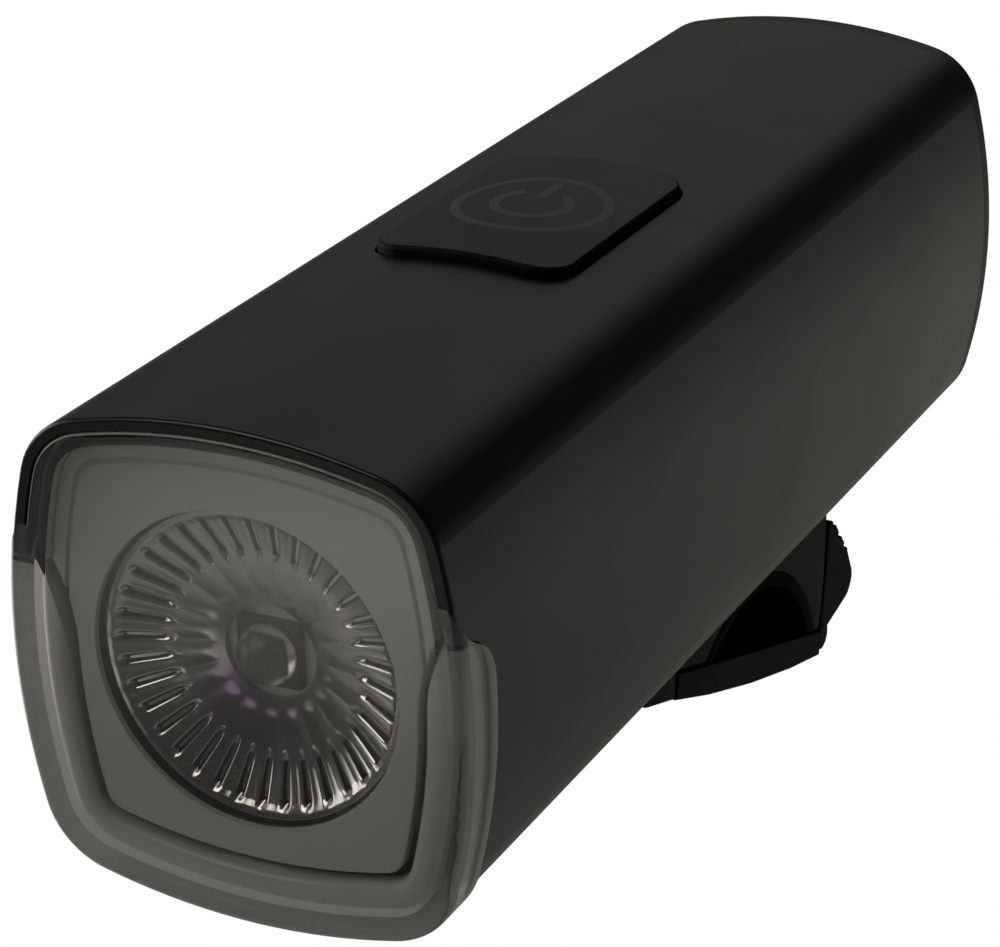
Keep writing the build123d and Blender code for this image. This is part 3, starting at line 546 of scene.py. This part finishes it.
# %% Finish the small parts inside
finishes["chip_black"] = solid_finish("chip_epoxy", grey(0.012), grey(0.03), 0.5, 0.42, grains=5.0, depth=0.2)
finishes["switch_plunger"] = solid_finish(
    "switch_plunger_plastic", (0.5, 0.28, 0.05, 1), (0.6, 0.38, 0.1, 1), 0.4, 0.35)
finishes["cell_sleeve"] = solid_finish(
    "shrink_sleeve", (0.02, 0.13, 0.24, 1), (0.1, 0.22, 0.33, 1), 0.3, 0.24, grains=0.6, depth=0.3)
finishes["wire_sheath"] = solid_finish("wire_sheath", (0.4, 0.02, 0.015, 1), (0.5, 0.1, 0.08, 1), 0.42, 0.36)
finishes["white_board"] = solid_finish(
    "white_solder_mask", (0.7, 0.7, 0.67, 1), (0.78, 0.78, 0.75, 1), 0.4, 0.34, grains=2.0, depth=0.1)

# %% [markdown]
# Bare metal follows the same recipe with full metallic and a lower roughness. Its colour is what
# it mirrors, so steel, aluminium and nickel differ only a little in tint.

# %% Finish the metals
finishes["steel_fasteners"] = solid_finish(
    "bright_steel", (0.56, 0.55, 0.53, 1), (0.7, 0.69, 0.67, 1), 0.3, 0.24, Metallic=1.0)
finishes["bare_aluminium"] = solid_finish(
    "cast_aluminium", (0.62, 0.62, 0.61, 1), (0.75, 0.75, 0.74, 1), 0.42, 0.36, depth=0.4, Metallic=1.0)
finishes["plated_contacts"] = solid_finish(
    "nickel_plate", (0.66, 0.63, 0.56, 1), (0.75, 0.73, 0.68, 1), 0.26, 0.2, depth=0.1, Metallic=1.0)
finishes["black_screws"] = solid_finish(
    "blackened_steel", (0.05, 0.05, 0.048, 1), (0.3, 0.295, 0.285, 1), 0.36, 0.3,
    depth=0.15, rub=0.6, edge=0.2, Metallic=1.0)

# %% [markdown]
# The circuit board is green lacquer over copper traces. A brick pattern stands for the traces: it
# changes the colour a little and gives a slight step. The indicator lights are pale epoxy, and
# the mark on the button is a smoked window.

# %% Finish the board, the lights and the icon


def board_finish():
    """Green lacquer over traces."""
    material, tree, shader, place = new_finish("green_board_lacquer")
    traces = add_node(tree, "ShaderNodeTexBrick", {
        "Vector": place, "Color1": (0.006, 0.07, 0.03, 1), "Color2": (0.008, 0.09, 0.04, 1),
        "Mortar": (0.02, 0.16, 0.06, 1), "Scale": 0.5, "Mortar Size": 0.04})
    tree.links.new(traces.outputs["Color"], shader.inputs["Base Color"])
    lay_gloss(tree, shader, place, 0.3, 0.24)
    lay_bump(tree, shader, 0.5, traces.outputs["Fac"])
    return material


finishes["circuit_board"] = board_finish()
finishes["indicator_light"] = solid_finish(
    "indicator_epoxy", (0.75, 0.74, 0.68, 1), (0.8, 0.8, 0.75, 1), 0.2, 0.16, depth=0.05)
finishes["icon_window"] = solid_finish(
    "smoked_icon_window", (0.022, 0.02, 0.024, 1), (0.06, 0.055, 0.062, 1), 0.24, 0.18,
    grains=2.0, depth=0.05)
print("finishes", len(finishes))

# %% [markdown]
# A new piece is shaped as a bmesh and then made an object. Its faces are shaded smooth and its
# sharp edges stay sharp. It rides on one of the lamp's bodies, so that it moves with its joint,
# and where it stands for a CAD node, that node is hidden.

# %% A helper for new pieces
sharp_angle = math.radians(28)


def is_sharp(edge):
    """Whether an edge joins two faces that turn by more than the sharp angle."""
    return edge.is_manifold and edge.calc_face_angle(0) > sharp_angle


def to_piece(bm, name, material, body, replaced=()):
    """Turns a bmesh into a finished piece that rides on a body, smooth but for its sharp edges."""
    for face in bm.faces:
        face.smooth = True
    for edge in bm.edges:
        edge.smooth = not is_sharp(edge)
    mesh = bpy.data.meshes.new(name)
    bm.to_mesh(mesh)
    bm.free()
    piece = bpy.data.objects.new(name, mesh)
    bpy.context.scene.collection.objects.link(piece)
    mesh.materials.append(material)
    weighted = piece.modifiers.new("even_shading", "WEIGHTED_NORMAL")
    weighted.keep_sharp = True
    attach(piece, body)
    if replaced:
        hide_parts(*replaced)
    return piece


# %% [markdown]
# CAD parts come out with knife-sharp edges, and nothing moulded or machined has those. An edge
# only looks real when it is wide enough to catch a line of light. So a piece whose edges show is
# copied, its loose triangles are merged, flat areas are joined again and every sharp edge is
# bevelled. The copy then stands for the CAD node.

# %% A helper that eases a piece's edges
merge_distance = 0.002 * mm
flat_angle = math.radians(0.4)
most_corners = 4


def merged_copy(node):
    """A CAD node's mesh as one skin, with its flat areas joined."""
    bm = bmesh.new()
    bm.from_mesh(frame["nodes"][node].data)
    bmesh.ops.remove_doubles(bm, verts=bm.verts, dist=merge_distance)
    bmesh.ops.dissolve_limit(bm, angle_limit=flat_angle, verts=bm.verts, edges=bm.edges)
    return bm


def split_large_faces(bm):
    """Cuts every face of more than four corners into triangles, so that it shades evenly."""
    bmesh.ops.triangulate(bm, faces=[face for face in bm.faces if len(face.verts) > most_corners])


def eased_copy(node, width, slot, segments=2):
    """A copy of a CAD node with its sharp edges bevelled, which then stands for the node."""
    bm = merged_copy(node)
    sharp = [edge for edge in bm.edges if is_sharp(edge)]
    bmesh.ops.bevel(bm, geom=sharp, offset=width * mm, offset_type="OFFSET", affect="EDGES",
                    segments=segments, profile=0.5, material=-1, clamp_overlap=False)
    split_large_faces(bm)
    bodies = frame["record"]["behaviour"]["bodies"]
    body = next(name for name, nodes in bodies.items() if node in nodes)
    piece = to_piece(bm, node + "_eased", finishes[slot], body, (node,))
    print(piece.name, "sharp edges eased", len(sharp), "faces", len(piece.data.polygons))
    return piece


# %% [markdown]
# The widths below are in millimetres. They follow how each piece is made: a large moulding such
# as the bracket has a generous round, and a screw's head or a thin cover only a fine one.

# %% Ease the edges that show
bezel = eased_copy("bezel_plate", 0.15, "grey_bezel")
eased_copy("bar_bracket", 0.3, "bracket_plastic")
eased_copy("rubber_strap", 0.25, "strap_rubber")
eased_copy("seat_pad", 0.12, "pad_rubber")
eased_copy("rear_cap", 0.12, "black_plastic")
eased_copy("port_flap", 0.09, "button_rubber")
eased_copy("cap_screws", 0.08, "black_screws")
eased_copy("bracket_screws", 0.12, "black_screws")

# %% [markdown]
# The button's pad is smooth where the thumb lands, and its rounded skirt is duller. The skirt is a soft
# dark line along the front and right edges, which is shade. So the faces that turn away from straight
# up take a second, matte material, whose darker colour is a painted shade.

# %% Dull the button's skirt and paint shade on it
pad_facing = 0.93
button_bm = merged_copy("power_button")
split_large_faces(button_bm)
skirt_faces = 0
for face in button_bm.faces:
    if face.normal.z < pad_facing:
        face.material_index = 1
        skirt_faces += 1
button = to_piece(button_bm, "power_button_pad", finishes["button_rubber"], "button",
                  ("power_button",))
# The skirt's darker colour is a painted shade. Its roughness and low sheen are the rubber's own.
button.data.materials.append(solid_finish(
    "matte_button_skirt_painted_shade", (0.0035, 0.0034, 0.0032, 1), grey(0.015), 0.62, 0.54,
    grains=3.2, depth=0.3, rub=0.2, Specular_IOR_Level=0.1))
print("button faces", len(button.data.polygons), "in the skirt", skirt_faces)

# %% [markdown]
# A thin black line runs round the bowl, which is shade on the back of the opening's wall. The wall is
# cut across at half its depth, and its back faces take a second material, black plastic as a
# painted shade.

# %% Paint shade on the back of the bezel's opening
bezel_low, bezel_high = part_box("bezel_plate")
opening_radius = 12.1 * mm
opening_margin = 0.05 * mm
painted_shade_edge_y = (bezel_low.y + bezel_high.y) / 2
bezel_bm = bmesh.new()
bezel_bm.from_mesh(bezel.data)
bmesh.ops.bisect_plane(bezel_bm, geom=bezel_bm.verts[:] + bezel_bm.edges[:] + bezel_bm.faces[:],
                       dist=merge_distance, plane_co=(0, painted_shade_edge_y, 0), plane_no=(0, 1, 0))
blackened = 0
for face in bezel_bm.faces:
    centre = face.calc_center_median()
    near_opening = math.hypot(centre.x, centre.z - axis_z) < opening_radius + opening_margin
    # Painted shade: the back half of the opening's wall takes black plastic.
    if near_opening and centre.y > painted_shade_edge_y:
        face.material_index = 1
        blackened += 1
bezel_bm.to_mesh(bezel.data)
bezel_bm.free()
bezel.data.materials.append(finishes["black_plastic"])
print("blackened faces", blackened)

# %% [markdown]
# The lens is polished where light goes through and frosted where it only fits: on its lip, and on
# the end that meets the shell's step. That hides the seam behind it. Just under the step the end
# lies in the shell's shade, and there it takes a dark material, a painted shade. The moulded rim of
# the front plate is matte and pale, and its pale colour is a painted highlight, a fine bright line
# inside the shell's black edge. Each face is sorted by how deep it lies, how high, and where it points.

# %% Sort the lens's faces
frosted_depth = 3.3 * mm
window_thickness, window_margin = 1.6 * mm, 0.1 * mm
end_facing = 0.05
plate_round, plate_facing = 0.3 * mm, -0.97
step_top_z = axis_z + 9.0 * mm
shade_height = 4.0 * mm
frosted_index, painted_highlight_index, painted_shade_index = 1, 2, 3

lens_bm = merged_copy("front_lens")
split_large_faces(lens_bm)
for face in lens_bm.faces:
    centre = face.calc_center_median()
    depth = centre.y - front_y
    window_back = abs(depth - window_thickness) < window_margin
    end_of_wrap = face.normal.y > end_facing and not window_back
    above_step = centre.z > step_top_z
    lip_above = above_step and depth > window_thickness + window_margin
    # Painted highlight: the plate's rounded rim takes a pale matte grey.
    if above_step and depth < plate_round and face.normal.y > plate_facing:
        face.material_index = painted_highlight_index
    # Painted shade: the end just under the step takes a dark material.
    elif end_of_wrap and centre.z > step_top_z - shade_height:
        face.material_index = painted_shade_index
    elif depth > frosted_depth or end_of_wrap or lip_above:
        face.material_index = frosted_index
frosted_faces = sum(face.material_index == frosted_index for face in lens_bm.faces)
print("lens faces", len(lens_bm.faces), "frosted", frosted_faces)

# %% [markdown]
# The three sorts of face that aren't polished have a material each. They follow the clear one in
# the order of their numbers.

# %% Finish the lens's hidden faces
lens = to_piece(lens_bm, "front_lens_polished", finishes["clear_lens"], "light",
                ("front_lens",))
lens.data.materials.append(solid_finish(
    "frosted_polycarbonate", grey(0.46), grey(0.52), 0.55, 0.46, grains=2.0, depth=0.4))
# The pale rim, a painted highlight.
lens.data.materials.append(solid_finish(
    "matte_lens_rim_painted_highlight", (0.30, 0.295, 0.285, 1), (0.4, 0.395, 0.385, 1), 0.4, 0.32,
    grains=2.0, depth=0.2))
# The dark end under the step, a painted shade.
lens.data.materials.append(solid_finish(
    "lens_end_painted_shade", (0.05, 0.049, 0.047, 1), grey(0.08), 0.55, 0.46, grains=2.0, depth=0.4))
print("lens materials", [material.name for material in lens.data.materials])

# %% [markdown]
# The bowl is the brightest and busiest thing in the picture. It is moulded plastic with a thin
# coat of aluminium. Its outline is a parabola from the rim to the throat, closed by a flange
# behind the bezel and a collar round the light source. The outline is turned round the lamp's
# axis with spin, in steps that are fine enough to press pleats into.

# %% Turn the bowl
bowl_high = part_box("reflector")[1]
pleats = 36
steps_per_pleat = 12
bowl_rim = 11.5 * mm
bowl_throat = 3.69 * mm
flange_gap, flange_thickness = 0.1 * mm, 1.0 * mm
flange_front_y = bezel_high.y + flange_gap
flange_back_y = flange_front_y + flange_thickness
flange_radius = bowl_high.x
rim_wall = 0.8 * mm
collar_radius, collar_length = 4.98 * mm, 0.6 * mm
throat_y = bowl_high.y - collar_length
wall_rings = 30


def bowl_y(radius):
    """How far back the bowl's wall lies at a radius: a parabola from the rim to the throat."""
    share = (bowl_rim**2 - radius**2) / (bowl_rim**2 - bowl_throat**2)
    return flange_front_y + (throat_y - flange_front_y) * share


def spun(outline, steps):
    """A closed outline of (radius, y) points, turned once round the lamp's long axis."""
    bm = bmesh.new()
    verts = [bm.verts.new((radius, y, axis_z)) for radius, y in outline]
    edges = [bm.edges.new((verts[place - 1], vert)) for place, vert in enumerate(verts)]
    bmesh.ops.spin(bm, geom=verts + edges, cent=(0, 0, axis_z), axis=(0, 1, 0), dvec=(0, 0, 0),
                   angle=math.tau, steps=steps, use_merge=True, use_normal_flip=False, use_duplicate=False)
    bmesh.ops.remove_doubles(bm, verts=bm.verts, dist=merge_distance)
    bmesh.ops.recalc_face_normals(bm, faces=bm.faces)
    return bm


wall_radii = [bowl_throat + (bowl_rim - bowl_throat) * ring / wall_rings for ring in range(wall_rings + 1)]
bowl_outline = [(radius, bowl_y(radius)) for radius in wall_radii]
bowl_outline += [(flange_radius, flange_front_y), (flange_radius, flange_back_y),
                 (bowl_rim - rim_wall, flange_back_y), (collar_radius, bowl_high.y),
                 (bowl_throat, bowl_high.y)]
bowl_bm = spun(bowl_outline, pleats * steps_per_pleat)
print("bowl depth mm", round((throat_y - flange_front_y) / mm, 2))

# %% [markdown]
# The bowl's wall is pleated so that the beam has no hard edge. A pleat is a shallow hollow with a
# narrow slot on either side, and further in the wall has broader, flatter facets. They are made
# by pushing the wall's points back along the axis, by an amount that depends on the angle. Both
# fade in and out with the radius, so that no ledge shows where they begin.

# %% Press in the pleats
pleat_depth = 0.16 * mm
slot_depth = 0.75 * mm
slot_share = 0.22
facet_depth = 0.10 * mm
facets = 18
pleat_inner, pleat_outer = 7.9 * mm, 11.3 * mm
facet_inner = 4.6 * mm
pleat_fade = 0.8 * mm


def hollow_at(angle, count):
    """Nought on the ridges between hollows and one in the middle of each."""
    within = angle / math.tau * count % 1
    return 1 - (2 * within - 1) ** 2


def slot_at(angle):
    """One at the bottom of the slots between pleats and nought outside them."""
    within = angle / math.tau * pleats % 1
    return max(0, 1 - min(within, 1 - within) / slot_share)


def eased_step(value, start, end):
    """Rises smoothly from nought to one between two values."""
    share = min(max((value - start) / (end - start), 0), 1)
    return share * share * (3 - 2 * share)


pressed_points = 0
for vert in bowl_bm.verts:
    across, up = vert.co.x, vert.co.z - axis_z
    radius = math.hypot(across, up)
    if radius > bowl_rim - merge_distance or abs(vert.co.y - bowl_y(radius)) > merge_distance:
        continue
    angle = math.atan2(up, across) % math.tau
    pleated = eased_step(radius, pleat_inner - pleat_fade, pleat_inner + pleat_fade)
    faceted = eased_step(radius, facet_inner - pleat_fade / 2, facet_inner + pleat_fade) * (1 - pleated)
    pleated *= 1 - eased_step(radius, pleat_outer - pleat_fade / 2, pleat_outer)
    pressed = pleat_depth * hollow_at(angle, pleats) + slot_depth * slot_at(angle)
    vert.co.y += pleated * pressed + facet_depth * faceted * hollow_at(angle, facets)
    pressed_points += 1
print("points of the wall", pressed_points)

# %% [markdown]
# The coat of metal is bright near the rim and darker towards the throat, where the bowl mostly
# mirrors itself, and that darkening is a painted shade. Low on its left it has a soft purple tint,
# a painted reflection. The coat ends at the rim, so the flange is bare black plastic. All of this
# depends on the distance from the lamp's axis or from the middle of the purple tint, both in millimetres.

# %% Finish the bowl
coat_end, coat_edge = bowl_rim / mm + 0.35, bowl_rim / mm + 0.25
dim_radius, bright_radius = 3.5, 8.0
# Painted shade: the metal's colour goes from bright to darker towards the throat.
throat_shade_metal, bright_metal, bare_plastic = grey(0.32), grey(0.60), grey(0.012)
# Painted reflection: a soft purple tint low on the bowl's left.
reflection_middle, reflection_reach, reflection_core = (-2.2, -4.6, 0), 5.0, 1.5
reflection_tint = (0.24, 0.20, 0.33, 1)


def bowl_finish():
    """Aluminised plastic, with its coat only inside the rim, painted shade towards the throat and a painted
    purple reflection.
    """
    material, tree, shader, place = new_finish("aluminised_bowl")
    centred = add_node(tree, "ShaderNodeMapping", {
        "Vector": place, "Location": (0, 0, -axis_z / mm)}).outputs[0]
    parts = add_node(tree, "ShaderNodeSeparateXYZ", {0: centred}).outputs
    flat = add_node(tree, "ShaderNodeCombineXYZ", {"X": parts["X"], "Y": parts["Z"]}).outputs[0]
    radius = measured(tree, "LENGTH", flat)
    coated = ranged(tree, radius, coat_end, coat_edge, easing="LINEAR")
    # Painted shade: the metal darkens towards the throat.
    brightness = ranged(tree, radius, dim_radius, bright_radius)
    # Painted reflection: a purple tint low on the left.
    cast = ranged(tree, measured(tree, "DISTANCE", flat, reflection_middle), reflection_reach, reflection_core)
    metal = mixed_colour(tree, brightness, throat_shade_metal, bright_metal)
    metal = mixed_colour(tree, cast, metal, reflection_tint)
    shown = mixed_colour(tree, coated, bare_plastic, metal)
    tree.links.new(shown, shader.inputs["Base Color"])
    tree.links.new(coated, shader.inputs["Metallic"])
    lay_gloss(tree, shader, place, 0.16, 0.1)
    lay_bump(tree, shader, 0.08, add_effect(tree, grain_effect, Place=place, Grains_per_mm=1.6))
    return material


finishes["bright_reflector"] = bowl_finish()

# %% [markdown]
# The slots show as short dark strokes, which are shade in their depths. The faces there take a
# second, black material, a painted shade.

# %% Paint shade in the slots
shaded_slot_share = 0.35
shaded_slot_inner, shaded_slot_outer = pleat_inner + 0.2 * mm, pleat_outer - 0.3 * mm
shaded_slot_faces = 0
for face in bowl_bm.faces:
    centre = face.calc_center_median()
    across, up = centre.x, centre.z - axis_z
    in_slot = slot_at(math.atan2(up, across) % math.tau) > shaded_slot_share
    if in_slot and shaded_slot_inner < math.hypot(across, up) < shaded_slot_outer:
        # Painted shade: the slot's faces take black plastic.
        face.material_index = 1
        shaded_slot_faces += 1
bowl = to_piece(bowl_bm, "pleated_bowl", finishes["bright_reflector"], "light",
                ("reflector",))
bowl.data.materials.append(finishes["bracket_plastic"])
# The faces counted as left bare carry the painted shade.
print("bowl faces", len(bowl.data.polygons), "left bare", shaded_slot_faces)

# %% [markdown]
# At the bottom of the bowl sits the light source. It is a small ceramic package with a square of
# yellow phosphor, under a clear dome. Unlit, the square looks dull olive.

# %% Finish the light source
finishes["led_phosphor"] = solid_finish(
    "dull_phosphor", (0.10, 0.092, 0.045, 1), (0.15, 0.14, 0.07, 1), 0.5, 0.4, grains=8.0, depth=0.4)
ceramic_finish = solid_finish("led_ceramic", (0.024, 0.024, 0.020, 1), grey(0.04), 0.5, 0.42, depth=0.1)
dome_finish = clear_finish("clear_silicone_dome", (0.62, 0.62, 0.57, 1), 0.30, 0.24)

# %% [markdown]
# The package and the phosphor are square blocks on the lamp's axis, so one helper makes both: a
# cube is stretched, moved and bevelled.

# %% Place the package and the phosphor
source_low, source_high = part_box("led_emitter")
package_side, package_height = source_high.x - source_low.x, 0.9 * mm
package_front_y = source_high.y - package_height
phosphor_side, phosphor_height = 2.2 * mm, 0.12 * mm
package_bevel, phosphor_bevel = 0.08 * mm, phosphor_height / 3


def square_block(side, near_y, far_y, bevel):
    """A square block on the lamp's axis between two depths, with its edges bevelled."""
    low, high = Vector((-side / 2, near_y, axis_z - side / 2)), Vector((side / 2, far_y, axis_z + side / 2))
    bm = bmesh.new()
    bmesh.ops.create_cube(bm, size=1)
    bmesh.ops.scale(bm, verts=bm.verts, vec=high - low)
    bmesh.ops.translate(bm, verts=bm.verts, vec=(low + high) / 2)
    bmesh.ops.bevel(bm, geom=bm.edges, offset=bevel, offset_type="OFFSET", affect="EDGES",
                    segments=3, profile=0.5, material=-1, clamp_overlap=True)
    return bm


package = square_block(package_side, package_front_y, source_high.y, package_bevel)
to_piece(package, "led_package", ceramic_finish, "light", ("led_emitter",))

phosphor = square_block(
    phosphor_side, package_front_y - phosphor_height, package_front_y, phosphor_bevel)
to_piece(phosphor, "led_phosphor_square", finishes["led_phosphor"], "light", ("led_emitter",))
print("package side mm", round(package_side / mm, 2))

# %% [markdown]
# The dome is half a sphere. A whole one is made with its poles along the lamp's axis and cut just
# in front of the package, and the cut is filled, so that the dome is closed as glass has to be.

# %% Place the dome
dome_radius = package_front_y - source_low.y
dome_gap = 0.02 * mm
dome_sides, dome_rings = 48, 24
dome = bmesh.new()
bmesh.ops.create_uvsphere(dome, u_segments=dome_sides, v_segments=dome_rings, radius=dome_radius)
bmesh.ops.rotate(dome, verts=dome.verts, matrix=Matrix.Rotation(math.pi / 2, 3, "X"))
bmesh.ops.translate(dome, verts=dome.verts, vec=(0, package_front_y, axis_z))
cut = bmesh.ops.bisect_plane(
    dome, geom=dome.verts[:] + dome.edges[:] + dome.faces[:], dist=merge_distance,
    plane_co=(0, package_front_y - dome_gap, 0), plane_no=(0, 1, 0), clear_outer=True)
cut_edges = [part for part in cut["geom_cut"] if isinstance(part, bmesh.types.BMEdge)]
bmesh.ops.edgeloop_fill(dome, edges=cut_edges)
bmesh.ops.recalc_face_normals(dome, faces=dome.faces)
to_piece(dome, "led_dome", dome_finish, "light", ("led_emitter",))
print("dome radius mm", round(dome_radius / mm, 2))

# %% [markdown]
# The pieces that keep their CAD shape, such as the shell, the trim and everything inside, only
# take their finish. The record says which finish belongs to which piece, so a loop over it
# dresses them all.

# %% Dress the rest
for part in frame["record"]["subparts"]:
    node = frame["nodes"][part["node"]]
    node.data.materials.clear()
    node.data.materials.append(finishes[part["material_slot"]])

# %% [markdown]
# The looks must not change the lamp's size. How much the dressed model's box has grown over the
# imported model's box is printed.

# %% Compare the sizes
drawn_low, drawn_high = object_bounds()
grown = [high - low for low, high in zip(drawn_high - drawn_low, cad_high - cad_low)]
print("grown mm", [round(value / mm, 2) for value in grown])
